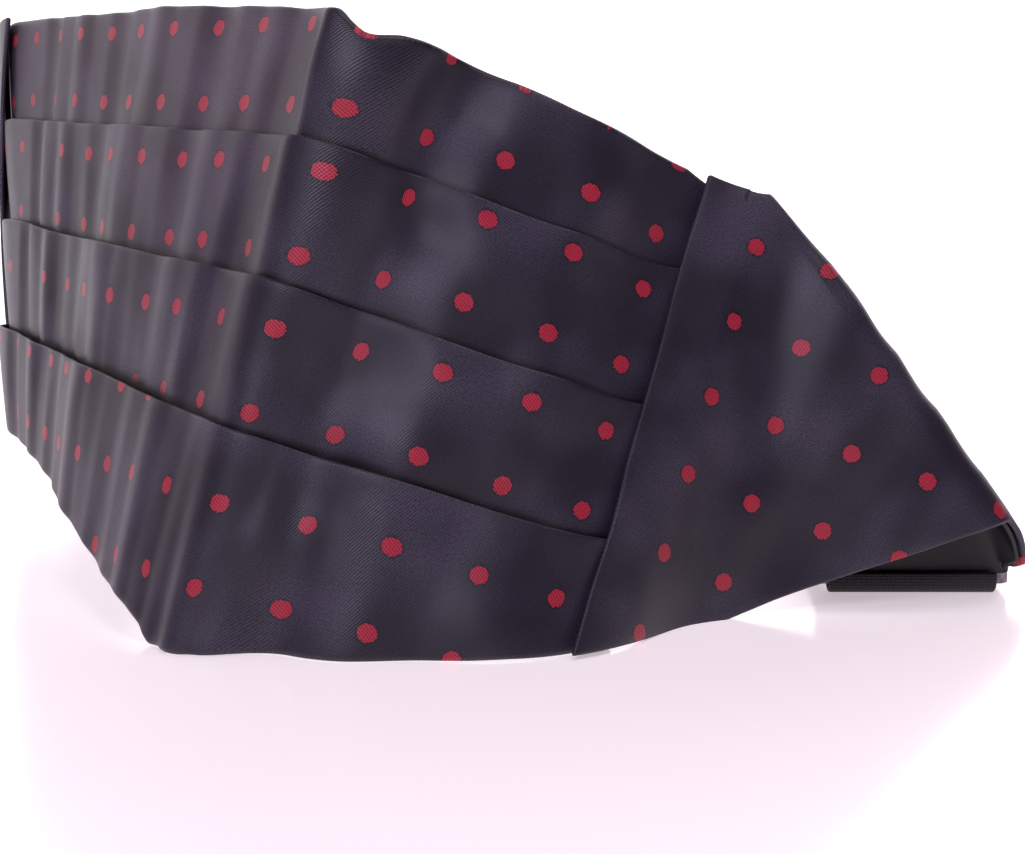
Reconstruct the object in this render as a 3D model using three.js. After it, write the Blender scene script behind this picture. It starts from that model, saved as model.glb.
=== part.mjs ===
// A pleated evening cummerbund, fastened into a loop and standing on its lower edge.
// Millimetres, +Z up. The floor is z = 0 and the right half of the front faces -Y.
import * as THREE from 'three';

// Sizes along and across the cloth.
const PANEL_W = 249;          // pleated front along the cloth, end to end
const PANEL_H = 117;          // pleated front, top line to hem at the crease
const CREASE_AT = 0.6595;     // where the storage crease lies, share of PANEL_W from the left end
const SEAM_H = 102;            // height of a side wing at its seam
const STRIP_W = 38;           // width of the strip that a wing tapers to
const WING_L = 80;             // wing's folded edge to where the strip's parallel edges begin
const WING_LAP = 8.5;          // how far a wing's folded edge laps over the front

// Thicknesses and clearances.
const SATIN_T = 1.2;          // satin with its interlining
const LINING_T = 1.0;         // black lining
const LAYER_GAP = 0.3;        // clearance between neighbouring layers
const LINING_INSET = 1.5;     // how far a wing's lining stays inside the satin's edges
const POCKET_GAP = 0.7;       // open space under the lip of a pleat
const TUCK = 5;               // how deep each pleat's pocket runs under its lip
const LIP_ROUND = 0.45;       // softness of the folded lips

// The oblique folds where the wings turn back.
const FOLD_R = 6.7;           // radius of the roll at the right fold's lower end
const FOLD_R_TOP = 1.2;       // and at its upper end
const LEFT_FLAT = 18;         // the left wing stays flat this far past its folded edge
const FOLD_SPRING = 14.3;     // how far the cloth keeps going back past the roll

// Strap, slide and clasp.
const STRAP_W = 34;
const STRAP_T = 1.2;
const BAR = 2.2;              // thickness of the slide's bars
const SLIDE_D = 15;           // slide, front to back
const SLIDE_CLEAR = 0.5;      // side clearance of the strap in the slide
const TAB_FRONT_H = 1.0;      // height of the tab's front leg above the bar's centre
const TAB_BACK_H = 9;
const STRAP_SEWN = 6;         // length of strap sewn to the left wing
const STRAP_BACK_L = 12;      // free end of the strap over the slide's back bar
const CLASP_L = 24;
const CLASP_T = 4;
const CLASP_EDGE = 1;         // how far the clasp stands past the strap's edges
const FOOT = 0;               // height of the lowest cloth edges over the floor

const deg = Math.PI / 180;
const V = (x, y, z) => new THREE.Vector3(x, y, z);
const clamp = (x, a, b) => Math.min(b, Math.max(a, x));
const mix = (a, b, t) => a + (b - a) * t;
const ease = (t) => { const u = clamp(t, 0, 1); return u * u * (3 - 2 * u); };

// Course of the cloth's middle line seen from above and from the front. `at` is the distance from
// the crease as a share of PANEL_W, `turn` the heading in plan, `rise` the slope of the cloth's
// grain, `lean` the tilt of the upright rulings along the grain and `back` their tilt rearwards.
const COURSE = [
  { at: -0.736, turn: -64.0, rise: 0.0, lean: -14.0, back: -10.5 },
  { at: -0.600, turn: -58.9, rise: 2.0, lean: -14.9, back: -13.5 },
  { at: -0.485, turn: -61.1, rise: -0.5, lean: -16.4, back: -13.6 },
  { at: -0.292, turn: -60.8, rise: 0.8, lean: -10.0, back: -17.0 },
  { at: -0.133, turn: -52.5, rise: 0.4, lean: -3.4, back: -20.3 },
  { at: -0.042, turn: -56.1, rise: 0.0, lean: -1.1, back: -20.8 },
  { at: -0.006, turn: -61.6, rise: 1.2, lean: -0.4, back: -18.6 },
  { at: 0.006, turn: -36.2, rise: -4.1, lean: 2.6, back: -18.0 },
  { at: 0.055, turn: 21.8, rise: -19.3, lean: 4.7, back: -4.2 },
  { at: 0.110, turn: -11.2, rise: -13.1, lean: 0.0, back: -20.6 },
  { at: 0.190, turn: 10.3, rise: -22.5, lean: -2.3, back: -16.1 },
  { at: 0.324, turn: 20.9, rise: -22.5, lean: 4.7, back: -19.9 },
  { at: 0.439, turn: 4.9, rise: -20.7, lean: 0.3, back: -9.9 },
  { at: 0.661, turn: -2.6, rise: -21.9, lean: -0.6, back: -15.2 },
];
// The middle line runs MID_V below the top line. MID_P is its point at MID_AT from the crease.
const MID_V = 0.417;          // share of PANEL_H
const MID_AT = 0.029;         // share of PANEL_W
const MID_P = V(-36.23, -1.8, 65.6);

// Edges and pleat lines below the top line, shares of PANEL_H. The hem is deepest at the crease.
const EDGES = [
  { at: -0.660, top: -0.054, fold1: 0.166, fold2: 0.386, fold3: 0.610, hem: 0.800 },
  { at: -0.520, top: -0.052, fold1: 0.172, fold2: 0.390, fold3: 0.616, hem: 0.830 },
  { at: -0.421, top: -0.051, fold1: 0.173, fold2: 0.394, fold3: 0.615, hem: 0.836 },
  { at: -0.320, top: -0.055, fold1: 0.172, fold2: 0.393, fold3: 0.615, hem: 0.861 },
  { at: -0.228, top: -0.053, fold1: 0.176, fold2: 0.397, fold3: 0.620, hem: 0.899 },
  { at: -0.140, top: -0.048, fold1: 0.179, fold2: 0.405, fold3: 0.635, hem: 0.952 },
  { at: -0.068, top: -0.040, fold1: 0.181, fold2: 0.410, fold3: 0.646, hem: 0.980 },
  { at: -0.024, top: -0.035, fold1: 0.182, fold2: 0.411, fold3: 0.650, hem: 1.007 },
  { at: -0.003, top: -0.028, fold1: 0.184, fold2: 0.411, fold3: 0.650, hem: 1.025 },
  { at: 0.004, top: -0.027, fold1: 0.183, fold2: 0.411, fold3: 0.652, hem: 1.030 },
  { at: 0.014, top: -0.010, fold1: 0.183, fold2: 0.414, fold3: 0.655, hem: 1.030 },
  { at: 0.022, top: 0.002, fold1: 0.186, fold2: 0.417, fold3: 0.657, hem: 1.030 },
  { at: 0.040, top: -0.009, fold1: 0.190, fold2: 0.421, fold3: 0.659, hem: 1.025 },
  { at: 0.094, top: -0.011, fold1: 0.193, fold2: 0.428, fold3: 0.665, hem: 0.998 },
  { at: 0.140, top: -0.001, fold1: 0.201, fold2: 0.436, fold3: 0.670, hem: 0.976 },
  { at: 0.190, top: 0.007, fold1: 0.202, fold2: 0.437, fold3: 0.668, hem: 0.943 },
  { at: 0.240, top: 0.003, fold1: 0.193, fold2: 0.434, fold3: 0.666, hem: 0.910 },
  { at: 0.285, top: -0.004, fold1: 0.180, fold2: 0.429, fold3: 0.665, hem: 0.885 },
  { at: 0.340, top: -0.018, fold1: 0.155, fold2: 0.407, fold3: 0.645, hem: 0.860 },
];

// Where the left end of the cloth turns back: the line's places at the top line and at the full
// height, shares of PANEL_W, the radius in mm and the whole turn in degrees.
const END_BEND = { top: -0.607, low: -0.484, r: 35, turn: 40 };

// Soft upright ripples of the cloth: place and half width as shares of PANEL_W, depth as a share
// of SATIN_T. A positive depth stands out.
const RIPPLES = [
  { at: -0.503, half: 0.025, depth: -0.6 },
  { at: -0.426, half: 0.027, depth: 0.7 },
  { at: -0.339, half: 0.029, depth: -0.7 },
  { at: -0.261, half: 0.027, depth: 0.6 },
  { at: -0.165, half: 0.033, depth: -0.8 },
  { at: -0.087, half: 0.025, depth: 0.5 },
  { at: 0.116, half: 0.033, depth: -0.5 },
  { at: 0.223, half: 0.039, depth: 0.5 },
];

// Cubic through a table's rows, with tangents taken from the neighbouring rows.
function read(rows, key, x) {
  const last = rows.length - 1;
  const u = clamp(x, rows[0].at, rows[last].at);
  let k = 0;
  while (k < last - 1 && u > rows[k + 1].at) k += 1;
  const slope = (i) => (rows[i + 1][key] - rows[i][key]) / (rows[i + 1].at - rows[i].at);
  const tangent = (i) => {
    if (i === 0) return slope(0);
    if (i === last) return slope(last - 1);
    const h0 = rows[i].at - rows[i - 1].at;
    const h1 = rows[i + 1].at - rows[i].at;
    return (slope(i - 1) * h1 + slope(i) * h0) / (h0 + h1);
  };
  const h = rows[k + 1].at - rows[k].at;
  const t = (u - rows[k].at) / h;
  return (2 * t ** 3 - 3 * t ** 2 + 1) * rows[k][key] + (t ** 3 - 2 * t ** 2 + t) * h * tangent(k)
    + (3 * t ** 2 - 2 * t ** 3) * rows[k + 1][key] + (t ** 3 - t ** 2) * h * tangent(k + 1);
}

// Frames along the course: T along the grain, R up the ruling.
function courseFrame(m) {
  const at = m / PANEL_W;
  const [turn, rise, lean, back] = ['turn', 'rise', 'lean', 'back'].map((k) => read(COURSE, k, at) * deg);
  const T = V(Math.cos(turn) * Math.cos(rise), Math.sin(turn) * Math.cos(rise), Math.sin(rise));
  const U = V(-Math.cos(turn) * Math.sin(rise), -Math.sin(turn) * Math.sin(rise), Math.cos(rise));
  const R = U.clone().multiplyScalar(Math.cos(back)).addScaledVector(T.clone().cross(U), Math.sin(back));
  R.multiplyScalar(Math.cos(lean)).addScaledVector(T, Math.sin(lean));
  return { T, R };
}
const STEPS = 400;
const M_LEFT = -CREASE_AT * PANEL_W;
const M_RIGHT = (1 - CREASE_AT) * PANEL_W;
const M_FROM = COURSE[0].at * PANEL_W;
const M_TO = COURSE[COURSE.length - 1].at * PANEL_W;
const DM = (M_TO - M_FROM) / STEPS;
const course = [];
for (let k = 0, p = V(0, 0, 0); k <= STEPS; k += 1) {
  course.push({ ...courseFrame(M_FROM + k * DM), p: p.clone() });
  p = p.addScaledVector(courseFrame(M_FROM + (k + 0.5) * DM).T, DM);
}
function middle(m) {
  const f = (m - M_FROM) / DM;
  const k = clamp(Math.floor(f), 0, STEPS - 1);
  const t = f - k;
  const a = course[k];
  const b = course[k + 1];
  const T = a.T.clone().lerp(b.T, clamp(t, 0, 1)).normalize();
  const R = a.R.clone().lerp(b.R, clamp(t, 0, 1)).normalize();
  return { p: a.p.clone().addScaledVector(b.p.clone().sub(a.p), t), T, R };
}
const SHIFT = MID_P.clone().sub(middle(MID_AT * PANEL_W).p);
const ripple = (m) => RIPPLES.reduce((n, r) => {
  const t = (m / PANEL_W - r.at) / r.half;
  return n + (Math.abs(t) < 1 ? r.depth * SATIN_T * (1 - t * t) ** 2 : 0);
}, 0);

// The ruled cloth: m along the grain from the crease, y down from the top line, n outwards.
function ruledPoint(m, y, n) {
  const { p, T, R } = middle(m);
  const N = T.clone().cross(R).normalize();
  return p.add(SHIFT).addScaledVector(R, MID_V * PANEL_H - y).addScaledVector(N, n);
}
// A point of the cloth. Past an oblique line near its left end the cloth also bends backwards.
const bendA = new THREE.Vector2(END_BEND.top * PANEL_W, 0);
const bendE = new THREE.Vector2(END_BEND.low * PANEL_W, PANEL_H).sub(bendA).normalize();
const bendM = new THREE.Vector2(-bendE.y, bendE.x);
function clothPoint(m, y, n) {
  const out = n + ripple(m);
  const d = new THREE.Vector2(m, y).sub(bendA);
  const q = d.dot(bendM);
  if (q <= 0) return ruledPoint(m, y, out);
  const g = bendA.clone().addScaledVector(bendE, d.dot(bendE));
  const gx = ruledPoint(g.x + 0.5, g.y, 0).sub(ruledPoint(g.x - 0.5, g.y, 0)).normalize();
  const gy = ruledPoint(g.x, g.y + 0.5, 0).sub(ruledPoint(g.x, g.y - 0.5, 0)).normalize();
  const N = gy.clone().cross(gx).normalize();
  const M = gx.multiplyScalar(bendM.x).addScaledVector(gy, bendM.y).normalize();
  const turn = END_BEND.turn * deg;
  const phi = Math.min(q / END_BEND.r, turn);
  const past = Math.max(0, q - END_BEND.r * turn);
  return ruledPoint(g.x, g.y, 0)
    .addScaledVector(M, (END_BEND.r + out) * Math.sin(phi) + past * Math.cos(phi))
    .addScaledVector(N, (END_BEND.r + out) * Math.cos(phi) - END_BEND.r - past * Math.sin(phi));
}
// Depth below the top line at which the cloth meets the floor.
function floorY(m) {
  const a = clothPoint(m, 0, 0).z;
  return (PANEL_H * (a - FOOT)) / (a - clothPoint(m, PANEL_H, 0).z);
}
function edge(key, m) {
  const y = read(EDGES, key, m / PANEL_W) * PANEL_H;
  return key === 'hem' ? Math.min(y, floorY(m)) : y;
}

// Bodies are built from rings of equal length, closed by caps over the first and the last ring.
// From point `inner` on a ring runs back along the inner face, whose quads are split so that
// neighbouring layers share their diagonals.
function body(rings, caps, inner) {
  const n = rings[0].length;
  const pos = rings.flat().flatMap((p) => [p.x, p.y, p.z]);
  let idx = [];
  for (let i = 0; i < rings.length - 1; i += 1) {
    for (let j = 0; j < n; j += 1) {
      const a = i * n + j;
      const b = i * n + (j + 1) % n;
      if (j < inner) idx.push(a, b, b + n, a, b + n, a + n);
      else idx.push(a, b, a + n, b, b + n, a + n);
    }
  }
  const lastRing = (rings.length - 1) * n;
  for (const [a, b, c] of caps) idx.push(c, b, a, a + lastRing, b + lastRing, c + lastRing);
  let volume = 0;
  const at = (i) => V(pos[3 * i], pos[3 * i + 1], pos[3 * i + 2]);
  for (let i = 0; i < idx.length; i += 3) {
    volume += at(idx[i]).dot(at(idx[i + 1]).cross(at(idx[i + 2]))) / 6;
  }
  if (volume < 0) idx = idx.reverse();
  const geometry = new THREE.BufferGeometry();
  geometry.setAttribute('position', new THREE.Float32BufferAttribute(pos, 3));
  geometry.setIndex(idx);
  geometry.computeVertexNormals();
  return geometry;
}
// Ring of a sheet's section: across[0..k] on the outer face, then back on the inner face.
function sheetCaps(k) {
  const caps = [];
  for (let j = 0; j < k; j += 1) {
    const a = j;
    const b = j + 1;
    const c = 2 * k + 1 - (j + 1);
    const d = 2 * k + 1 - j;
    caps.push([a, b, c], [a, c, d]);
  }
  return caps;
}

// Section of the pleated front at one place: [y, n] pairs around the cloth. Each pleat's folded lip
// stands over the band above it and leaves an open pocket of depth TUCK.
function pleatSection(m) {
  const t = SATIN_T;
  const lip = t + POCKET_GAP;
  const r = LIP_ROUND;
  const top = edge('top', m);
  const folds = ['fold1', 'fold2', 'fold3'].map((k) => edge(k, m));
  const hem = edge('hem', m);
  const out = [[top + r, 0], [top, r], [top, 2 * t - r], [top + r, 2 * t]];
  let start = top + r;
  let from = 2 * t;
  for (const f of folds) {
    const end = f + TUCK;
    for (const s of [0.3, 0.62, 0.86]) {
      const y = mix(start, f, s);
      out.push([y, mix(from, t, ((y - start) / (end - start)) ** 1.25)]);
    }
    out.push([end, t], [end, lip], [f + r, lip], [f, lip + r], [f, lip + t - r], [f + r, lip + t]);
    start = f + r;
    from = lip + t;
  }
  for (const s of [0.3, 0.62, 0.86]) {
    const y = mix(start, hem, s);
    out.push([y, mix(from, 1.5 * t, s ** 1.25)]);
  }
  out.push([hem - r, 1.5 * t], [hem, 1.5 * t - r], [hem, r], [hem - r, 0]);
  for (const y of backStations(m)) out.push([y, 0]);
  return out;
}
// Heights at which the back of the front and its lining bend, from the lining's lower edge up.
function backStations(m) {
  const [top, f1, f2, f3, hem] = ['top', 'fold1', 'fold2', 'fold3', 'hem'].map((k) => edge(k, m));
  return [hem - 3 * SATIN_T, mix(f3, hem, 0.5), f3, mix(f2, f3, 0.5), f2, mix(f1, f2, 0.5), f1,
    top + 2 * SATIN_T];
}
const spread = (a, b, count) => Array.from({ length: count + 1 }, (_, i) => mix(a, b, i / count));
// Places along the cloth where its solid is cut: even steps, closest together at the crease.
const CREASE = 0.006 * PANEL_W;
const CREASE_ZONE = 0.09 * PANEL_W;
const COLUMNS = [
  ...spread(M_LEFT, -CREASE_ZONE, 19).slice(0, -1),
  ...spread(-CREASE_ZONE, -CREASE, 5).slice(0, -1),
  ...spread(-CREASE, CREASE, 4).slice(0, -1),
  ...spread(CREASE, 1.3 * CREASE_ZONE, 12).slice(0, -1),
  ...spread(1.3 * CREASE_ZONE, M_RIGHT, 10),
];
function pleatedFront() {
  const flat = pleatSection(0).map(([y, n]) => new THREE.Vector2(y, n - (y / PANEL_H - 0.5) ** 2));
  const caps = THREE.ShapeUtils.triangulateShape(flat, []).map((t) => t.sort((a, b) => a - b));
  const inner = flat.length - backStations(0).length - 1;
  return body(COLUMNS.map((m) => pleatSection(m).map(([y, n]) => clothPoint(m, y, n))), caps, inner);
}
const BACK = -LAYER_GAP - LINING_T;
function frontLining() {
  const rings = COLUMNS.map((m) => {
    const ys = backStations(m).reverse();
    return [...ys.map((y) => clothPoint(m, y, -LAYER_GAP)),
      ...ys.slice().reverse().map((y) => clothPoint(m, y, BACK))];
  });
  const K = rings[0].length / 2 - 1;
  return body(rings, sheetCaps(K), K + 1);
}

// A wing in its flat pattern: x from its folded edge, y down from its top edge. side is +1 right,
// -1 left. The roll's first generatrix runs from (foldTop, 0) to (foldLow, its lower edge), shares
// of the wing's length. `low` is the lower edge: shares of the length and of the seam's height.
const RIGHT = {
  side: 1, length: WING_L, seam: M_RIGHT - WING_LAP, height: SEAM_H, foldTop: 0.11, foldLow: 0.931,
  low: [{ at: 0, y: 1 }, { at: 0.088, y: 0.975 }, { at: 0.175, y: 0.942 }, { at: 0.25, y: 0.905 },
    { at: 0.375, y: 0.828 }, { at: 0.5, y: 0.745 }, { at: 1, y: 0.437 }],
};
const LEFT = {
  side: -1, length: WING_L, seam: M_LEFT + WING_LAP, height: 0.87 * PANEL_H,
  low: [{ at: 0, y: 1 }, { at: 0.18, y: 0.96 }, { at: 1, y: STRIP_W / (0.87 * PANEL_H) }],
};
function lowerEdge(w, x) {
  const at = Math.min(1, x / w.length);
  const k = Math.max(1, w.low.findIndex((row) => row.at >= at));
  const [a, b] = [w.low[k - 1], w.low[k]];
  const y = w.height * mix(a.y, b.y, (at - a.at) / (b.at - a.at));
  return Math.min(y, floorY(w.seam + w.side * x) - edge('top', w.seam));
}
// Rise of a wing over the front that it laps.
const LAP_N = 2 * SATIN_T + POCKET_GAP + LAYER_GAP;
const lapRise = (x) => LAP_N * (1 - ease((x - WING_LAP - 1) / (2 * WING_LAP)));
const flatPoint = (w, x, y) => clothPoint(w.seam + w.side * x, edge('top', w.seam) + y, lapRise(x));
// The roll's axis runs along e. m is the direction across it in the flat pattern.
function fold(w) {
  const bx = w.foldLow * w.length;
  const a = new THREE.Vector2(w.foldTop * w.length, 0);
  const e = new THREE.Vector2(bx, lowerEdge(w, bx)).sub(a).normalize();
  return { a, e, m: new THREE.Vector2(e.y, -e.x), bx };
}
function rolled(w, x, y) {
  const { a, e, m, bx } = fold(w);
  const d = new THREE.Vector2(x, y).sub(a);
  const q = d.dot(m);
  if (q <= 0) return { p: flatPoint(w, x, y), back: null };
  const g = a.clone().addScaledVector(e, d.dot(e));
  const gx = flatPoint(w, g.x + 0.5, g.y).sub(flatPoint(w, g.x - 0.5, g.y)).normalize();
  const gy = flatPoint(w, g.x, g.y + 0.5).sub(flatPoint(w, g.x, g.y - 0.5)).normalize();
  const N = gx.clone().cross(gy).normalize().multiplyScalar(-w.side);
  const M = gx.multiplyScalar(m.x).addScaledVector(gy, m.y).normalize();
  const r = mix(FOLD_R_TOP, FOLD_R, clamp((d.dot(e) * e.x) / (bx - a.x), 0, 1));
  const phi = q / r;
  const p = flatPoint(w, g.x, g.y);
  return {
    p: p.addScaledVector(M, r * Math.sin(phi)).addScaledVector(N, r * (Math.cos(phi) - 1)),
    back: M.clone().multiplyScalar(Math.cos(phi)).addScaledVector(N, -Math.sin(phi)),
  };
}

// The tail hangs from the roll to its foot line on or near the floor.
const SLIDE_X = 84.2;         // middle of the slide
const SLIDE_Y = 29.6;         // axis of the slide's front bar
const BAR_Z = BAR * Math.SQRT1_2 + LAYER_GAP + STRAP_T + FOOT;
const TAIL_SHIFT = 0.4;       // the tail stands a little to the right of the slide's middle
const rightFoot = (s) => (
  V(SLIDE_X + TAIL_SHIFT + s * STRIP_W / 2, SLIDE_Y + 0.2, BAR_Z + BAR / 2 + LAYER_GAP));
const RIGHT_FOOT = { near: rightFoot(-1), far: rightFoot(1) };
// The left wing swings round to stand on the floor, where its strip ends at LEFT_END.
const LEFT_END = V(-86, 203, FOOT);
const LEFT_HEADING = 42;
const leftDir = V(Math.cos(LEFT_HEADING * deg), Math.sin(LEFT_HEADING * deg), 0);
const LEFT_FOOT = { near: LEFT_END.clone().setZ(FOOT + STRIP_W), far: LEFT_END };
const ROLL_LINES = 5;
const TAIL_LINES = 12;
const WING_K = 8;
const flatLine = (w, x) => spread(0, 1, WING_K).map((s) => flatPoint(w, x, s * lowerEdge(w, x)));
// Lines that carry a wing on from its points, leaving along `out`, to its last line, which they
// reach along `into`.
function tail(start, out, foot, into, count) {
  return spread(0, 1, count).slice(1).map((t) => start.map((p, j) => {
    const q = foot.near.clone().lerp(foot.far, j / WING_K);
    return p.clone().multiplyScalar(2 * t ** 3 - 3 * t ** 2 + 1)
      .addScaledVector(out[j], t ** 3 - 2 * t ** 2 + t)
      .addScaledVector(q, 3 * t ** 2 - 2 * t ** 3)
      .addScaledVector(into, q.distanceTo(p) * (t ** 3 - t ** 2));
  }));
}
// Reference surface of each wing, as lines of points from its upper to its lower edge.
const lapLines = (w) => [0, 0.34, 0.67].map((t) => flatLine(w, t * WING_LAP));
function rightGrid() {
  const w = RIGHT;
  const { a, e, bx } = fold(w);
  const reach = Math.PI / 2 / e.y;
  const lines = spread(0, 1, 8).map((t) => [mix(WING_LAP, a.x, t), mix(WING_LAP, bx, t)]);
  for (const t of spread(0, reach, ROLL_LINES).slice(1)) {
    lines.push([a.x + FOLD_R_TOP * t, bx + FOLD_R * t]);
  }
  const grid = lines.map(([xt, xb]) => spread(0, 1, WING_K).map((s) => (
    rolled(w, mix(xt, xb, s), s * lowerEdge(w, Math.min(xb, w.length))))));
  const end = grid[grid.length - 1];
  return [...lapLines(w), ...grid.map((line) => line.map((g) => g.p)),
    ...tail(end.map((g) => g.p), end.map((g) => g.back.multiplyScalar(FOLD_SPRING)),
      RIGHT_FOOT, V(0, 0, -1), TAIL_LINES)];
}
function leftGrid() {
  const w = LEFT;
  const lines = spread(WING_LAP, LEFT_FLAT, 4).map((x) => flatLine(w, x));
  const start = lines[lines.length - 1];
  const before = flatLine(w, LEFT_FLAT - 2);
  const way = start.reduce((sum, p, j) => sum.add(p).sub(before[j]), V(0, 0, 0)).setZ(0).normalize();
  const out = start.map((p) => way.clone().multiplyScalar(p.distanceTo(LEFT_END)));
  return [...lapLines(w), ...lines, ...tail(start, out, LEFT_FOOT, leftDir, TAIL_LINES)];
}
// Outward normals of a grid, from its neighbouring points.
function gridNormals(grid, side) {
  const last = grid.length - 1;
  return grid.map((line, i) => line.map((p, j) => {
    const du = grid[Math.min(i + 1, last)][j].clone().sub(grid[Math.max(i - 1, 0)][j]);
    const dv = grid[i][Math.min(j + 1, WING_K)].clone().sub(grid[i][Math.max(j - 1, 0)]);
    return du.cross(dv).normalize().multiplyScalar(-side);
  }));
}
function wingSheet(w, grid, n0, n1, from, inset) {
  const normals = gridNormals(grid, w.side);
  const inwards = { 0: 1, [WING_K]: WING_K - 1 };
  const layer = (i, n) => grid[i].map((p, j) => {
    const q = p.clone();
    if (j in inwards) q.addScaledVector(grid[i][inwards[j]].clone().sub(p).normalize(), inset);
    return q.addScaledVector(normals[i][j], n);
  });
  const rings = grid.map((_, i) => [...layer(i, n1), ...layer(i, n0).reverse()]);
  return body(rings.slice(from), sheetCaps(WING_K), WING_K + 1);
}

// A ribbon through stations. Each station gives its middle and the direction of its width. No part
// of it dips below the floor.
function ribbon(stations, width, thick, count) {
  const path = new THREE.CatmullRomCurve3(stations.map((s) => s.p), false, 'centripetal');
  const widths = new THREE.CatmullRomCurve3(stations.map((s) => s.w), false, 'catmullrom');
  const rings = spread(0, 1, count).map((t) => {
    const p = path.getPoint(t);
    const T = path.getTangent(t);
    const W = widths.getPoint(t);
    W.addScaledVector(T, -W.dot(T)).normalize();
    const N = T.clone().cross(W).normalize();
    const reach = Math.abs(W.z) * width / 2 + Math.abs(N.z) * thick / 2;
    p.z = Math.max(p.z, FOOT + reach);
    const corner = (a, b) => p.clone().addScaledVector(W, a * width / 2).addScaledVector(N, b * thick / 2);
    return [corner(-1, -1), corner(1, -1), corner(1, 1), corner(-1, 1)];
  });
  return body(rings, [[0, 1, 2], [0, 2, 3]], 4);
}
const X = V(1, 0, 0);
const LOOP_R = BAR * Math.SQRT1_2 + LAYER_GAP + STRAP_T / 2;
// Stations of a loop round a bar: from angle a0 to a1 in the YZ plane, degrees from -Y through -Z.
const around = (y, z, a0, a1, count) => spread(a0, a1, count).map((a) => ({
  p: V(SLIDE_X, y - LOOP_R * Math.cos(a * deg), z - LOOP_R * Math.sin(a * deg)), w: X,
}));
function rightTab() {
  return ribbon([
    { p: V(SLIDE_X, SLIDE_Y - LOOP_R, BAR_Z + TAB_FRONT_H), w: X },
    ...around(SLIDE_Y, BAR_Z, 0, 180, 6),
    { p: V(SLIDE_X, SLIDE_Y + LOOP_R, BAR_Z + TAB_BACK_H / 2), w: X },
    { p: V(SLIDE_X, SLIDE_Y + LOOP_R, BAR_Z + TAB_BACK_H), w: X },
  ], STRAP_W, STRAP_T, 26);
}
function slide() {
  const w = STRAP_W / 2 + SLIDE_CLEAR;
  const outer = new THREE.Shape();
  const c = BAR * 0.6;
  const d0 = -BAR / 2;
  const d1 = SLIDE_D - BAR / 2;
  outer.moveTo(-w - BAR + c, d0);
  for (const [x, y] of [[w + BAR - c, d0], [w + BAR, d0 + c], [w + BAR, d1 - c], [w + BAR - c, d1],
    [-w - BAR + c, d1], [-w - BAR, d1 - c], [-w - BAR, d0 + c]]) outer.lineTo(x, y);
  const hole = new THREE.Path();
  hole.moveTo(-w, d0 + BAR);
  for (const [x, y] of [[-w, d1 - BAR], [w, d1 - BAR], [w, d0 + BAR]]) hole.lineTo(x, y);
  outer.holes.push(hole);
  const g = new THREE.ExtrudeGeometry(outer, { depth: BAR, bevelEnabled: false, steps: 1 });
  g.translate(SLIDE_X, SLIDE_Y, BAR_Z - BAR / 2);
  return g;
}
const BACK_BAR_Y = SLIDE_Y + SLIDE_D - BAR;

// The right strap lies flat at the slide and stands on edge round the back. Stations give plan
// position, how far the ribbon has turned up on its edge in degrees and its heading.
function strapStations(list) {
  return list.map(([x, y, up, heading], i) => {
    const a = heading * deg;
    const side = V(Math.sin(a), -Math.cos(a), 0);
    const w = side.multiplyScalar(Math.cos(up * deg)).addScaledVector(V(0, 0, 1), Math.sin(up * deg));
    return { p: V(x, y, FOOT + Math.abs(w.z) * STRAP_W / 2 + Math.cos(up * deg) * STRAP_T / 2), w };
  });
}
const CLASP_AT = V(-4, 232, 0);
const CLASP_HEADING = 178;
const claspDir = V(Math.cos(CLASP_HEADING * deg), Math.sin(CLASP_HEADING * deg), 0);
const claspEnd = (s) => CLASP_AT.clone().addScaledVector(claspDir, s * (CLASP_L / 2 + LAYER_GAP));
function rightStrap() {
  const a = claspEnd(-1);
  const back = BACK_BAR_Y;
  return ribbon([
    { p: V(SLIDE_X, back + STRAP_BACK_L, BAR_Z + LOOP_R), w: X },
    { p: V(SLIDE_X, back + STRAP_BACK_L / 2, BAR_Z + LOOP_R), w: X },
    ...around(back, BAR_Z, -90, 90, 6),
    ...strapStations([
      [SLIDE_X, back + 8, 0, 90], [SLIDE_X, back + 18, 0, 90], [SLIDE_X + 0.5, back + 32, 22, 91],
      [SLIDE_X + 0.5, back + 48, 56, 93], [SLIDE_X - 1, back + 66, 84, 97],
      [SLIDE_X - 5, back + 88, 90, 104], [SLIDE_X - 13, back + 111, 90, 113],
      [SLIDE_X - 24, back + 134, 90, 121], [SLIDE_X - 37, back + 156, 90, 129],
      [SLIDE_X - 52, back + 175, 90, 142],
      [a.x - claspDir.x * 8, a.y - claspDir.y * 8, 90, CLASP_HEADING],
      [a.x, a.y, 90, CLASP_HEADING],
    ]),
  ], STRAP_W, STRAP_T, 64);
}
// The left strap is sewn to the inner face of the wing's strip and stands on edge throughout.
function leftStrap() {
  const b = claspEnd(1);
  const inset = -BACK + 2 * LAYER_GAP + STRAP_T / 2;
  const sewn = (s) => LEFT_END.clone().addScaledVector(leftDir, s)
    .addScaledVector(V(leftDir.y, -leftDir.x, 0), inset);
  const plan = [sewn(-STRAP_SEWN), sewn(-STRAP_SEWN / 2), sewn(0), sewn(STRAP_SEWN),
    V(-54, 223, 0), V(-36, 229.5, 0), b.clone().addScaledVector(claspDir, 9), b];
  const stations = plan.map((p) => ({ p: p.clone().setZ(FOOT + STRAP_W / 2), w: V(0, 0, 1) }));
  return ribbon(stations, STRAP_W, STRAP_T, 28);
}
function clasp() {
  const g = new THREE.BoxGeometry(CLASP_L, CLASP_T, STRAP_W + 2 * CLASP_EDGE);
  g.rotateZ(CLASP_HEADING * deg);
  g.translate(CLASP_AT.x, CLASP_AT.y, STRAP_W / 2 + CLASP_EDGE);
  return g;
}

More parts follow.
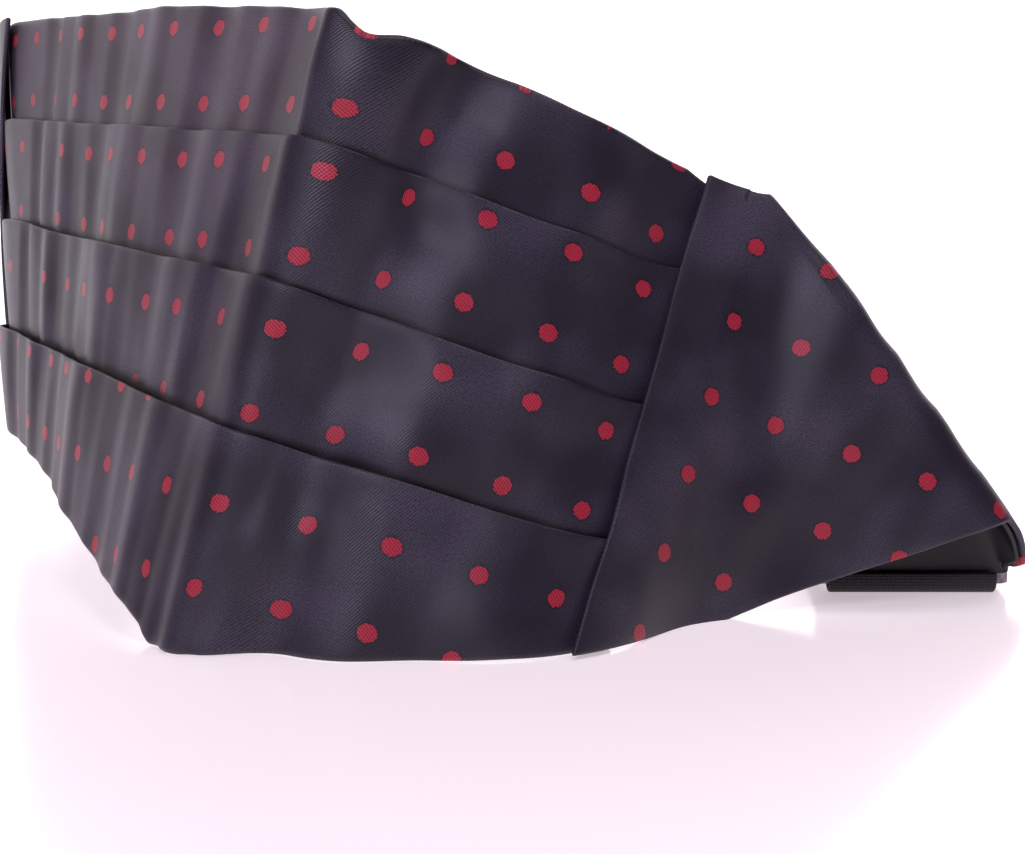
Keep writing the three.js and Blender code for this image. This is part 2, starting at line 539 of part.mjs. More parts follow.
const satin = { color: 0x2a2632, roughness: 0.45, metalness: 0 };
const lining = { color: 0x131218, roughness: 0.5, metalness: 0 };
const band = { color: 0x121116, roughness: 0.65, metalness: 0 };
const metal = { color: 0x77727f, roughness: 0.35, metalness: 0.7 };
const group = new THREE.Group();
function add(name, geometry, look) {
  const mesh = new THREE.Mesh(geometry, new THREE.MeshStandardMaterial(look));
  mesh.name = name;
  group.add(mesh);
}
add('pleated_front', pleatedFront(), satin);
add('front_lining', frontLining(), lining);
add('right_wing', wingSheet(RIGHT, rightGrid(), 0, SATIN_T, 0, 0), satin);
add('right_wing_lining', wingSheet(RIGHT, rightGrid(), BACK, -LAYER_GAP, 4, LINING_INSET), lining);
add('left_wing', wingSheet(LEFT, leftGrid(), 0, SATIN_T, 0, 0), satin);
add('left_wing_lining', wingSheet(LEFT, leftGrid(), BACK, -LAYER_GAP, 4, LINING_INSET), lining);
add('right_tab', rightTab(), band);
add('slide', slide(), metal);
add('right_strap', rightStrap(), band);
add('left_strap', leftStrap(), band);
add('clasp', clasp(), { color: 0x1a1a1e, roughness: 0.5, metalness: 0 });

// The origin is the middle of the object's footprint, on the floor.
const box = new THREE.Box3().setFromObject(group);
group.position.set(-(box.min.x + box.max.x) / 2, -(box.min.y + box.max.y) / 2, -box.min.z);
export default group;
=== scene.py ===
# %% [markdown]
# # A pleated satin cummerbund
#
# The object is an evening waistband. It is fastened into a loop and stands on its lower edge. Its
# front has four bands of dotted satin with three pleats between them, and wings at both ends taper
# to a strap with a metal slide.
#
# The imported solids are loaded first. They fix every size and place, so each piece below is made
# where its solid lies.

import bpy
import numpy as np
from math import cos, pi, radians, sin
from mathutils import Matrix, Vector


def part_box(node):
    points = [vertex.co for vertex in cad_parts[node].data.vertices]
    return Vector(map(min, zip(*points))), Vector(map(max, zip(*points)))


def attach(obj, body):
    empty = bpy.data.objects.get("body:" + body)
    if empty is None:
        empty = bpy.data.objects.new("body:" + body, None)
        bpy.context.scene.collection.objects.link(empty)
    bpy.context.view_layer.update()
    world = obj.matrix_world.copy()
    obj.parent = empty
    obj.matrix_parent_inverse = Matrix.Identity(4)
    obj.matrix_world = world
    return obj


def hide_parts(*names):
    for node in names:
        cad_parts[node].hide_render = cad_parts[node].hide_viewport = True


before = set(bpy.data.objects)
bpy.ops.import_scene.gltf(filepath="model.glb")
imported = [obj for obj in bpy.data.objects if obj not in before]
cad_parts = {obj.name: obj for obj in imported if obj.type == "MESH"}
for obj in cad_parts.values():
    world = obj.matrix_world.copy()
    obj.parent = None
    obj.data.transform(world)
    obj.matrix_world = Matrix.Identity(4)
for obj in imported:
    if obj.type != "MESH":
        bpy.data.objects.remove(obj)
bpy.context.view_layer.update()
bpy.ops.object.select_all(action="DESELECT")
MM = 0.001

# %% [markdown]
# ## Sizes along the cloth
#
# Satin hardly stretches, so every point of it keeps its place in the cloth: `m` runs along the
# grain from the storage crease, `y` down from the top line, and `n` outwards. The solids were laid
# out on the same coordinates, in millimetres. The tables repeat their sizes as shares of the panel.

# %% Named sizes and tables
PANEL_W, PANEL_H = 249.0, 117.0
CREASE_AT = 0.6595
SATIN_T, LINING_T = 1.2, 1.0
LAYER_GAP, LINING_INSET = 0.3, 1.5
POCKET_GAP, TUCK = 0.7, 5.0
SEAM_H, STRIP_W, WING_L, WING_LAP = 102.0, 38.0, 80.0, 8.5
FOLD_SPRING, LEFT_FLAT = 14.3, 18.0
STRAP_W, STRAP_T, BAR, SLIDE_D = 34.0, 1.2, 2.2, 15.0
M_LEFT, M_RIGHT = -CREASE_AT * PANEL_W, (1 - CREASE_AT) * PANEL_W


def table(names, rows):
    """Columns by name, from rows of numbers."""
    return dict(zip(names.split(), np.array(rows, float).T))


COURSE = table("at turn rise lean back", [
    (-0.736, -64.0, 0.0, -14.0, -10.5),
    (-0.600, -58.9, 2.0, -14.9, -13.5),
    (-0.485, -61.1, -0.5, -16.4, -13.6),
    (-0.292, -60.8, 0.8, -10.0, -17.0),
    (-0.133, -52.5, 0.4, -3.4, -20.3),
    (-0.042, -56.1, 0.0, -1.1, -20.8),
    (-0.006, -61.6, 1.2, -0.4, -18.6),
    (0.006, -36.2, -4.1, 2.6, -18.0),
    (0.055, 21.8, -19.3, 4.7, -4.2),
    (0.110, -11.2, -13.1, 0.0, -20.6),
    (0.190, 10.3, -22.5, -2.3, -16.1),
    (0.324, 20.9, -22.5, 4.7, -19.9),
    (0.439, 4.9, -20.7, 0.3, -9.9),
    (0.661, -2.6, -21.9, -0.6, -15.2),
])
MID_V, MID_AT, MID_P = 0.417, 0.029, np.array([-36.23, -1.8, 65.6])
EDGES = table("at top fold1 fold2 fold3 hem", [
    (-0.660, -0.054, 0.166, 0.386, 0.610, 0.800),
    (-0.520, -0.052, 0.172, 0.390, 0.616, 0.830),
    (-0.421, -0.051, 0.173, 0.394, 0.615, 0.836),
    (-0.320, -0.055, 0.172, 0.393, 0.615, 0.861),
    (-0.228, -0.053, 0.176, 0.397, 0.620, 0.899),
    (-0.140, -0.048, 0.179, 0.405, 0.635, 0.952),
    (-0.068, -0.040, 0.181, 0.410, 0.646, 0.980),
    (-0.024, -0.035, 0.182, 0.411, 0.650, 1.007),
    (-0.003, -0.028, 0.184, 0.411, 0.650, 1.025),
    (0.004, -0.027, 0.183, 0.411, 0.652, 1.030),
    (0.014, -0.010, 0.183, 0.414, 0.655, 1.030),
    (0.022, 0.002, 0.186, 0.417, 0.657, 1.030),
    (0.040, -0.009, 0.190, 0.421, 0.659, 1.025),
    (0.094, -0.011, 0.193, 0.428, 0.665, 0.998),
    (0.140, -0.001, 0.201, 0.436, 0.670, 0.976),
    (0.190, 0.007, 0.202, 0.437, 0.668, 0.943),
    (0.240, 0.003, 0.193, 0.434, 0.666, 0.910),
    (0.285, -0.004, 0.180, 0.429, 0.665, 0.885),
    (0.340, -0.018, 0.155, 0.407, 0.645, 0.860),
])
END_BEND = {"top": -0.607, "low": -0.484, "r": 35.0, "turn": radians(40)}
RIPPLES = table("at half depth", [
    (-0.503, 0.025, -0.6), (-0.426, 0.027, 0.7), (-0.339, 0.029, -0.7), (-0.261, 0.027, 0.6),
    (-0.165, 0.033, -0.8), (-0.087, 0.025, 0.5), (0.116, 0.033, -0.5), (0.223, 0.039, 0.5),
])
# Swells: place along and down the cloth, half widths and depth, mm. A positive depth stands out.
SWELLS = np.array([
    (6, 8, 12, 14, 1.30), (20, 14, 12, 18, -1.16), (30, 22, 10, 14, 1.30), (44, 18, 12, 16, -1.01),
    (58, 14, 12, 14, 1.30), (72, 22, 12, 20, -1.01), (27, 44, 12, 14, 1.16), (44, 48, 14, 12, -1.01),
    (60, 52, 14, 14, 1.01), (12, 62, 12, 16, -1.16), (30, 72, 16, 12, 1.16), (54, 80, 16, 14, -1.16),
    (72, 74, 12, 14, 1.16), (20, 96, 16, 12, 1.01), (60, 100, 18, 10, 1.01), (96, 26, 10, 22, -1.30),
    (112, 34, 9, 26, 1.45), (104, 63, 10, 18, 1.30), (123, 38, 9, 20, 1.16), (118, 66, 12, 14, -1.01),
    (136, 52, 10, 16, 1.01), (-14, 50, 9, 34, -1.01), (-30, 40, 8, 40, 0.87), (-50, 70, 9, 40, -0.87),
    (-72, 36, 9, 36, 0.87), (-96, 60, 10, 40, -0.87), (-118, 40, 9, 40, 0.87),
])
print(f"front {PANEL_W:g} by {PANEL_H:g} mm, crease {-M_LEFT:.0f} mm from its left end")

# %% [markdown]
# ## Where a point of the cloth lies
#
# The cloth is a ruled surface. A table gives the heading and slope of its middle line, which is
# walked in short steps, and the tilt of the straight rulings across it. Near the left end it bends
# back about an oblique line as well. Everything is done on whole arrays, so a piece of cloth takes
# a moment.


# %% The ruled cloth
def read(tab, column, x):
    """Cubic through a table's column, with tangents taken from the neighbouring rows."""
    at, v = tab["at"], tab[column]
    x = np.clip(np.asarray(x, float), at[0], at[-1])
    h = np.diff(at)
    slope = np.diff(v) / h
    tan = np.concatenate([slope[:1], (slope[:-1] * h[1:] + slope[1:] * h[:-1]) / (h[1:] + h[:-1]),
                          slope[-1:]])
    k = np.clip(np.searchsorted(at, x, side="left") - 1, 0, len(at) - 2)
    t = (x - at[k]) / h[k]
    return ((2 * t**3 - 3 * t**2 + 1) * v[k] + (t**3 - 2 * t**2 + t) * h[k] * tan[k]
            + (3 * t**2 - 2 * t**3) * v[k + 1] + (t**3 - t**2) * h[k] * tan[k + 1])


def unit(a):
    return a / np.maximum(np.linalg.norm(a, axis=-1, keepdims=True), 1e-12)


def headings(m):
    """Directions along the grain and up the ruling at m."""
    turn, rise, lean, back = (np.radians(read(COURSE, k, m / PANEL_W)) for k in
                              ("turn", "rise", "lean", "back"))
    grain = np.stack([np.cos(turn) * np.cos(rise), np.sin(turn) * np.cos(rise), np.sin(rise)], -1)
    up = np.stack([-np.cos(turn) * np.sin(rise), -np.sin(turn) * np.sin(rise), np.cos(rise)], -1)
    ruling = up * np.cos(back)[..., None] + np.cross(grain, up) * np.sin(back)[..., None]
    return grain, ruling * np.cos(lean)[..., None] + grain * np.sin(lean)[..., None]


STEPS = 1600
walk_m = np.linspace(COURSE["at"][0], COURSE["at"][-1], STEPS + 1) * PANEL_W
walk_grain, walk_ruling = headings(walk_m)
step = walk_m[1] - walk_m[0]
walk_p = np.vstack([np.zeros(3), np.cumsum(headings(walk_m[:-1] + step / 2)[0] * step, axis=0)])


def along(values, m):
    return np.stack([np.interp(m, walk_m, values[:, k]) for k in range(3)], -1)


walk_p += MID_P - along(walk_p, MID_AT * PANEL_W)


def ripple(m):
    """Soft upright ripples of the cloth."""
    out = np.zeros_like(np.asarray(m, float))
    for at, half, depth in zip(RIPPLES["at"], RIPPLES["half"], RIPPLES["depth"]):
        t = np.clip(np.abs((m / PANEL_W - at) / half), 0, 1)
        out = out + depth * SATIN_T * (1 - t * t) ** 2
    return out


def swell(m, y):
    """Soft hills and hollows of the cloth from use, in mm."""
    out = 0.0
    for at, down, half_m, half_y, depth in SWELLS:
        far = ((m - at) / half_m) ** 2 + ((y - down) / half_y) ** 2
        out = out + depth * np.maximum(0, 1 - far) ** 2
    return out


def ruled(m, y, n):
    m, y, n = np.broadcast_arrays(*(np.asarray(v, float) for v in (m, y, n)))
    grain, ruling = unit(along(walk_grain, m)), unit(along(walk_ruling, m))
    normal = unit(np.cross(grain, ruling))
    return along(walk_p, m) + ruling * (MID_V * PANEL_H - y)[..., None] + normal * n[..., None]


bend_a = np.array([END_BEND["top"] * PANEL_W, 0.0])
bend_e = unit(np.array([END_BEND["low"] * PANEL_W, PANEL_H]) - bend_a)
bend_m = np.array([-bend_e[1], bend_e[0]])


def cloth(m, y, n=0.0):
    """The place of a point of the cloth, in mm."""
    m, y, n = np.broadcast_arrays(*(np.asarray(v, float) for v in (m, y, n)))
    out = n + ripple(m) + swell(m, y)
    d = np.stack([m, y], -1) - bend_a
    q = d @ bend_m
    foot = bend_a + (d @ bend_e)[..., None] * bend_e
    gx, gy = foot[..., 0], foot[..., 1]
    dx = unit(ruled(gx + 0.5, gy, 0) - ruled(gx - 0.5, gy, 0))
    dy = unit(ruled(gx, gy + 0.5, 0) - ruled(gx, gy - 0.5, 0))
    normal = unit(np.cross(dy, dx))
    across = unit(dx * bend_m[0] + dy * bend_m[1])
    r, turn = END_BEND["r"], END_BEND["turn"]
    phi = np.clip(q / r, 0, turn)
    past = np.maximum(0, q - r * turn)
    bent = (ruled(gx, gy, 0)
            + across * ((r + out) * np.sin(phi) + past * np.cos(phi))[..., None]
            + normal * ((r + out) * np.cos(phi) - r - past * np.sin(phi))[..., None])
    return np.where((q > 0)[..., None], bent, ruled(m, y, out))


def edge(column, m):
    """Depth of an edge or pleat line below the top line. The hem stops at the floor."""
    y = read(EDGES, column, m / PANEL_W) * PANEL_H
    if column != "hem":
        return y
    high = cloth(m, 0)[..., 2]
    return np.minimum(y, PANEL_H * high / (high - cloth(m, PANEL_H)[..., 2]))


# The solids were moved as a whole, so that their footprint is centred. The slide tells how far.
SLIDE_X, SLIDE_Y = 84.2, 29.6
slide_low, slide_high = (np.array(c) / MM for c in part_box("slide"))
SHIFT = np.array([(slide_low[0] + slide_high[0]) / 2 - SLIDE_X, slide_low[1] + BAR / 2 - SLIDE_Y, 0.0])
print("shift of the solids:", SHIFT.round(2), "crease foot at", (cloth(0.0, 100.0) + SHIFT).round(1))

# %% [markdown]
# ## Turning rings of points into cloth
#
# A piece of satin is drawn as rings of points: down its outer face, round its edge and back up its
# inner face. Neighbouring rings are joined by quads. Each point also carries its place in the cloth,
# in dot spacings, which becomes the UV map that the woven pattern follows.
#
# Building these sheets in code is better than dragging a plane into shape, because the pleats and
# the pattern have to follow the cloth's own coordinates.

# %% Mesh helpers
DOT_PITCH = 16.0
DOT_SHIFT = 0.131       # places a column of dots on the cloth, share of the pitch


def make_mesh(name, points, faces, maps):
    """A mesh object at the world's origin, from points in mm of the solids' own layout."""
    mesh = bpy.data.meshes.new(name)
    mesh.from_pydata(((points + SHIFT) * MM).tolist(), [], faces)
    mesh.validate()
    mesh.update()
    index = np.zeros(len(mesh.loops), int)
    mesh.loops.foreach_get("vertex_index", index)
    for layer_name, uv in maps.items():
        layer = mesh.uv_layers.new(name=layer_name)
        layer.data.foreach_set("uv", uv.reshape(-1, 2)[index].astype(np.float32).ravel())
    obj = bpy.data.objects.new(name, mesh)
    bpy.context.scene.collection.objects.link(obj)
    mesh.polygons.foreach_set("use_smooth", np.ones(len(mesh.polygons), bool))
    return obj


def closed(name, rings, uv, shade=None):
    """Closed sheet from rings (count, ring, 3). Each half of a ring mirrors the other."""
    shade = np.zeros(rings.shape[:2]) if shade is None else shade
    maps = {"cloth": uv, "shade": np.stack([shade, 0 * shade], -1)}
    count, ring = rings.shape[:2]
    grid = np.arange(count * ring).reshape(count, ring)
    a, b = grid[:-1], grid[1:]
    quads = np.stack([a, np.roll(a, -1, 1), np.roll(b, -1, 1), b], -1).reshape(-1, 4)
    j = np.arange(ring // 2 - 1)
    cap = np.stack([j, ring - 1 - j, ring - 2 - j, j + 1], -1)
    faces = np.vstack([quads, cap, cap[:, ::-1] + (count - 1) * ring])
    obj = make_mesh(name, rings.reshape(-1, 3), faces.tolist(), maps)
    volume = signed_volume(obj.data)
    if volume < 0:
        obj.data.flip_normals()
    print(f"{name}: {len(faces)} faces, {abs(volume) * 1e9:.0f} mm3")
    return obj


def signed_volume(mesh):
    mesh.calc_loop_triangles()
    co = np.zeros(3 * len(mesh.vertices))
    mesh.vertices.foreach_get("co", co)
    tri = np.zeros(3 * len(mesh.loop_triangles), int)
    mesh.loop_triangles.foreach_get("vertices", tri)
    a, b, c = (co.reshape(-1, 3)[tri.reshape(-1, 3)[:, k]] for k in range(3))
    return float((a * np.cross(b, c)).sum() / 6)


# %% [markdown]
# ## The pleated front
#
# Three pleats face up. Each is a fold whose lip stands a little off the band above it, which leaves a
# dark line where one looks down into the pocket. On the real thing the pockets gape in places where
# the cloth was handled, so a table opens them by different amounts. A second map, `shade`, paints
# shade into the satin where it lies deep in a pocket, where no light reaches it, and half shade over
# the rounded top of each lip.

# %% Pleat section
GAPES = table("at open1 open2 open3", [
    (-0.627, 0.5, 0.7, 1.0),
    (-0.484, 0.4, 0.9, 1.4),
    (-0.339, 0.4, 1.3, 1.3),
    (-0.194, 0.5, 1.5, 1.6),
    (-0.097, 0.6, 1.3, 1.6),
    (-0.010, 0.3, 0.4, 0.5),
    (0.030, 0.5, 0.5, 0.8),
    (0.058, 0.6, 0.7, 1.3),
    (0.106, 0.5, 0.9, 2.3),
    (0.165, 0.3, 0.7, 1.0),
    (0.232, 0.0, 1.3, 1.6),
    (0.285, 0.3, 0.8, 0.8),
    (0.341, 0.3, 0.4, 0.4),
])
BAND_ROWS = (-1.01, 27.3, 57.3, 90.53)      # depth of a row of dots in each band, mm
LIP = SATIN_T + POCKET_GAP
END_DROP = 2.6                 # the front's upper edge dips this far under the right wing, mm


def front_section(m):
    """Ring of the front at each m: depth, offset outwards, depth in the band's own dots, shade."""
    y, n, v, dim = [], [], [], []

    def put(depth, off, cloth_depth, band, shade=0.0):
        dim.append(shade + 0 * m)
        y.append(depth + 0 * m)
        n.append(off + 0 * m)
        v.append((cloth_depth - BAND_ROWS[band]) / DOT_PITCH + 0.5 + 0 * m)

    top, hem = edge("top", m), edge("hem", m)
    top = top + END_DROP * np.clip((m / PANEL_W - 0.29) / 0.03, 0, 1)
    for a in np.radians(np.linspace(-90, 90, 7)):
        put(top + SATIN_T - SATIN_T * np.cos(a), SATIN_T + SATIN_T * np.sin(a), top, 0)
    start, lift = top + SATIN_T, 2 * SATIN_T + 0 * m
    for band in range(3):
        fold = edge(f"fold{band + 1}", m)
        gape = read(GAPES, f"open{band + 1}", m / PANEL_W)
        fold = fold + 0.25 * np.maximum(gape, 0)
        bottom = fold + TUCK
        shaded = 0.9 + 0.9 * np.maximum(gape, 0)
        for s in (*np.linspace(0, 0.86, 20)[1:], *np.linspace(0.87, 1, 10)):
            depth = start + s * (fold - start)
            off = lift + (SATIN_T - lift) * ((depth - start) / (bottom - start)) ** 1.25
            put(depth, off, depth, band, np.clip(1 - (fold - depth) / shaded, 0, 1))
        for s in (0.3, 0.6, 0.9):
            depth = fold + s * TUCK
            off = lift + (SATIN_T - lift) * ((depth - start) / (bottom - start)) ** 1.25
            put(depth, off, depth, band, 1.0)
        put(bottom, SATIN_T, bottom, band, 1.0)
        put(bottom, LIP - 0.2, fold - TUCK, band + 1, 1.0)
        stand = LIP + np.maximum(gape, -0.4)
        for s in (0.25, 0.5, 0.75):
            put(bottom - s * (TUCK - 0.6), LIP - 0.2 + s**2 * (stand - LIP + 0.2), fold - (1 - s) * TUCK,
                band + 1, 1.0)
        # Painted shade over the lip's rounded edge: half on its top, full on its pocket side, none outside.
        for a in np.radians(np.linspace(-90, 90, 9)):
            put(fold + SATIN_T / 2 * (1 - np.cos(a)), stand + SATIN_T / 2 * (1 + np.sin(a)), fold, band + 1,
                0.5 - 0.45 * np.sin(a))
        start, lift = fold + SATIN_T / 2, stand + SATIN_T
    for s in np.linspace(0, 1, 33)[1:]:
        depth = start + s * (hem - 0.9 - start)
        put(depth, lift + (1.5 * SATIN_T - lift) * s**1.25, depth, 3)
    for a in np.radians(np.linspace(60, -90, 6)):
        put(hem - 0.9 * (1 - np.cos(a)), 0.9 * (1 + np.sin(a)), hem, 3)
    outer = len(y)
    for s in np.linspace(0, 1, outer + 1)[1:-1]:
        put(hem - 0.9 + s * (top + SATIN_T - hem + 0.9), 0.0, hem, 3)
    y.append(y[0] + 0.02)
    n.append(n[0])
    v.append(v[0])
    dim.append(dim[0])
    return np.stack(y), np.stack(n), np.stack(v), np.stack(dim)


# %% Make the pleated front
CREASE_ZONE = 0.09 * PANEL_W
columns = np.concatenate([
    np.linspace(M_LEFT, -CREASE_ZONE, 130)[:-1],
    np.linspace(-CREASE_ZONE, 1.3 * CREASE_ZONE, 90)[:-1],
    np.linspace(1.3 * CREASE_ZONE, M_RIGHT, 60),
])
sec_y, sec_n, sec_v, sec_dim = front_section(columns)
front_points = cloth(columns[None, :], sec_y, sec_n).transpose(1, 0, 2)
front_u = columns[None, :] / DOT_PITCH + DOT_SHIFT
front_uv = np.stack(np.broadcast_arrays(front_u, sec_v), -1).transpose(1, 0, 2)
front = closed("satin_front", front_points, front_uv, sec_dim.T)

# %% [markdown]
# ## The wings
#
# A wing is one flat-cut piece that laps over the front's end with a folded edge. The right one rolls
# back about an oblique line, which makes the pointed tip, and its tail comes down to the slide. The
# left one swings round to the back of the loop. Each is a grid of points, given thickness and
# rounded edges afterwards.

# %% Wing grids
LAP_N = 2 * SATIN_T + POCKET_GAP + LAYER_GAP
RIGHT = {"side": 1, "seam": M_RIGHT - WING_LAP, "height": SEAM_H, "fold": (0.11, 0.931), "r": (1.2, 6.7),
         "low": ((0, 0.088, 0.175, 0.25, 0.375, 0.5, 1), (1, 0.975, 0.942, 0.905, 0.828, 0.745, 0.437))}
LEFT = {"side": -1, "seam": M_LEFT + WING_LAP, "height": 0.87 * PANEL_H,
        "low": ((0, 0.18, 1), (1, 0.96, STRIP_W / (0.87 * PANEL_H)))}
ACROSS = 56
WING_DOT = np.array([89.1, 27.3])              # one of the wing's dots: along and down the cloth, mm
LEFT_END = np.array([-86.0, 203.0, 0.0])       # foot of the left wing's strip
left_dir = np.array([cos(radians(42)), sin(radians(42)), 0])


def ease(t):
    t = np.clip(t, 0, 1)
    return t * t * (3 - 2 * t)


def lower_edge(w, x):
    y = np.interp(np.asarray(x) / WING_L, w["low"][0], w["low"][1]) * w["height"]
    m = w["seam"] + w["side"] * np.asarray(x, float)
    high = cloth(m, 0)[..., 2]
    floor = PANEL_H * high / (high - cloth(m, PANEL_H)[..., 2])
    return np.minimum(y, floor - edge("top", w["seam"]))


def flat_point(w, x, y):
    lap = LAP_N * (1 - ease((x - WING_LAP - 1) / (2 * WING_LAP)))
    return cloth(w["seam"] + w["side"] * x, edge("top", w["seam"]) + y, lap)


def fold_line(w):
    bx = w["fold"][1] * WING_L
    a = np.array([w["fold"][0] * WING_L, 0.0])
    e = unit(np.array([bx, float(lower_edge(w, bx))]) - a)
    return a, e, np.array([e[1], -e[0]]), bx


def rolled(w, x, y):
    a, e, across2, bx = fold_line(w)
    d = np.stack([x, y], -1) - a
    q = d @ across2
    foot = a + (d @ e)[..., None] * e
    gx, gy = foot[..., 0], foot[..., 1]
    share = np.clip((d @ e) * e[0] / (bx - a[0]), 0, 1)
    r = w["r"][0] + (w["r"][1] - w["r"][0]) * share
    dx = unit(flat_point(w, gx + 0.5, gy) - flat_point(w, gx - 0.5, gy))
    dy = unit(flat_point(w, gx, gy + 0.5) - flat_point(w, gx, gy - 0.5))
    normal = unit(np.cross(dx, dy)) * -w["side"]
    across = unit(dx * across2[0] + dy * across2[1])
    phi = np.maximum(q, 0) / r
    p = (flat_point(w, gx, gy) + across * (r * np.sin(phi))[..., None]
         + normal * (r * (np.cos(phi) - 1))[..., None])
    back = across * np.cos(phi)[..., None] - normal * np.sin(phi)[..., None]
    return np.where((q > 0)[..., None], p, flat_point(w, x, y)), back


def tail(start, out, foot, into, count):
    """Lines that carry a wing on from its points, leaving along out and arriving along into."""
    t = np.linspace(0, 1, count + 1)[1:, None, None]
    reach = np.linalg.norm(foot - start, axis=-1)[..., None]
    return (start * (2 * t**3 - 3 * t**2 + 1) + out * (t**3 - 2 * t**2 + t)
            + foot * (3 * t**2 - 2 * t**3) + into * reach * (t**3 - t**2))


BAR_Z = BAR * 0.5**0.5 + LAYER_GAP + STRAP_T
s = np.linspace(0, 1, ACROSS + 1)
LAP_STEPS = np.linspace(0, 1, 7)[:-1]
WING_DROP = 1.4                # the right wing's upper edge lies this far below the front's, mm


def right_wing():
    w = RIGHT
    a, e, _, bx = fold_line(w)
    reach = np.array(w["r"]) * pi / 2 / e[1]
    pairs = [(t * WING_LAP, t * WING_LAP) for t in LAP_STEPS]
    pairs += [(WING_LAP + t * (a[0] - WING_LAP), WING_LAP + t * (bx - WING_LAP))
              for t in np.linspace(0, 1, 61)]
    pairs += [(a[0] + t * reach[0], bx + t * reach[1]) for t in np.linspace(0, 1, 25)[1:]]
    lines, cuts, back = [], [], None
    for x_top, x_low in pairs:
        x = x_top + s * (x_low - x_top)
        low = float(lower_edge(w, min(x_low, WING_L)))
        y = WING_DROP + s * (low - WING_DROP)
        p, back = rolled(w, x, y)
        lines.append(p)
        cuts.append(np.stack([x, y], -1))
    foot = np.stack([SLIDE_X + 0.4 + (s - 0.5) * STRIP_W, SLIDE_Y + 0.2 + 0 * s,
                     BAR_Z + BAR / 2 + LAYER_GAP + 0 * s], -1)
    lines += list(tail(lines[-1], back * FOLD_SPRING, foot, np.array([0, 0, -1.0]), 40))
    return np.array(lines), cuts


def left_wing():
    w = LEFT
    cut_x = np.concatenate([LAP_STEPS * WING_LAP, np.linspace(WING_LAP, LEFT_FLAT, 20)])
    lines = [flat_point(w, x, s * float(lower_edge(w, x))) for x in cut_x]
    cuts = [np.stack([x + 0 * s, s * float(lower_edge(w, x))], -1) for x in cut_x]
    before = flat_point(w, LEFT_FLAT - 2, s * float(lower_edge(w, LEFT_FLAT - 2)))
    way = (lines[-1] - before).sum(0) * np.array([1, 1, 0])
    foot = LEFT_END + np.stack([0 * s, 0 * s, (1 - s) * STRIP_W], -1)
    reach = np.linalg.norm(lines[-1] - LEFT_END, axis=-1)[:, None]
    lines += list(tail(lines[-1], unit(way) * reach, foot, left_dir, 50))
    return np.array(lines), cuts


def cut_coordinates(w, grid, cuts):
    """Place of every grid point in the flat cloth, carried on by arc length past the last cut."""
    flat = list(cuts)
    for k in range(len(cuts), len(grid)):
        run = np.linalg.norm(grid[k] - grid[k - 1], axis=-1)
        flat.append(flat[-1] + np.stack([run, 0 * run], -1))
    flat = np.array(flat)
    m = w["seam"] + w["side"] * flat[..., 0]
    y = float(edge("top", w["seam"])) + flat[..., 1]
    return (np.stack([m, y], -1) - WING_DOT) / DOT_PITCH + 0.5


def grid_normals(grid, side):
    return unit(np.cross(np.gradient(grid, axis=0), np.gradient(grid, axis=1))) * -side


def thick_sheet(name, grid, normals, uv, n0, n1):
    """Closed sheet between two offsets of a grid, with round edges all the way round."""
    mid, half = (n0 + n1) / 2, (n1 - n0) / 2
    du = unit(np.gradient(grid, axis=0))
    dv = unit(np.gradient(grid, axis=1))
    rings, coords = [], []
    start_way, end_way = uv[0] - uv[1], uv[-1] - uv[-2]
    start_way /= np.linalg.norm(grid[0] - grid[1], axis=-1)[:, None]
    end_way /= np.linalg.norm(grid[-1] - grid[-2], axis=-1)[:, None]
    rim_arc = half * np.radians([30, 60, 90, 120, 150])[:, None] / DOT_PITCH

    def ring(k, shift, squeeze, slide=0.0):
        base = grid[k] + du[k] * shift
        outer = base + normals[k] * (mid + half * squeeze)
        inner = base + normals[k] * (mid - half * squeeze)
        rims = []
        for j, sign in ((-1, 1), (0, -1)):
            turn = np.radians([30, 60, 90, 120, 150])
            rim = [base[j] + normals[k][j] * (mid + half * squeeze * np.cos(t))
                   + dv[k][j] * sign * half * squeeze * np.sin(t) for t in turn]
            rims.append(rim if sign > 0 else rim[::-1])
        rings.append(np.array([*outer, *rims[0], *inner[::-1], *rims[1]]))
        c = uv[k] + slide
        low, high = unit(c[-1] - c[-2]) * rim_arc, unit(c[0] - c[1]) * rim_arc
        coords.append(np.array([*c, *(c[-1] + low), *c[::-1], *(c[0] + high[::-1])]))

    for t in np.radians([80, 55, 30]):
        ring(0, -half * np.sin(t), np.cos(t), start_way * half * t)
    for k in range(len(grid)):
        ring(k, 0.0, 1.0)
    for t in np.radians([30, 55, 80]):
        ring(-1, half * np.sin(t), np.cos(t), end_way * half * t)
    rings, coords = np.array(rings), np.array(coords)
    # The ring starts at the middle of its first rim, so that its halves mirror each other.
    return closed(name, np.roll(rings, 2, 1), np.roll(coords, 2, 1))


def lining_grid(grid):
    """The part of a wing's grid that its lining backs, drawn in from the satin's long edges."""
    part = grid[8:].copy()
    for j, nxt in ((0, 1), (-1, -2)):
        part[:, j] += unit(part[:, nxt] - part[:, j]) * 0.8 * LINING_INSET
    return part


right_grid, right_cuts = right_wing()
left_grid, left_cuts = left_wing()
print("right wing", right_grid.shape, "tip at", (right_grid[..., 0].max() + SHIFT[0]).round(1))
right_normals = grid_normals(right_grid, 1)
left_normals = grid_normals(left_grid, -1)
wing_r = thick_sheet("satin_right_wing", right_grid, right_normals,
                     cut_coordinates(RIGHT, right_grid, right_cuts), 0, SATIN_T)
wing_l = thick_sheet("satin_left_wing", left_grid, left_normals,
                     cut_coordinates(LEFT, left_grid, left_cuts), 0, SATIN_T)

# %% [markdown]
# ## The linings
#
# Black lining backs the front and the wings. It is set in from the satin's edge, so the satin turns
# over and shows as a thin rim. It is made on the same grids, a small gap behind the satin.

# %% Make the linings
BACK = -LAYER_GAP - LINING_T


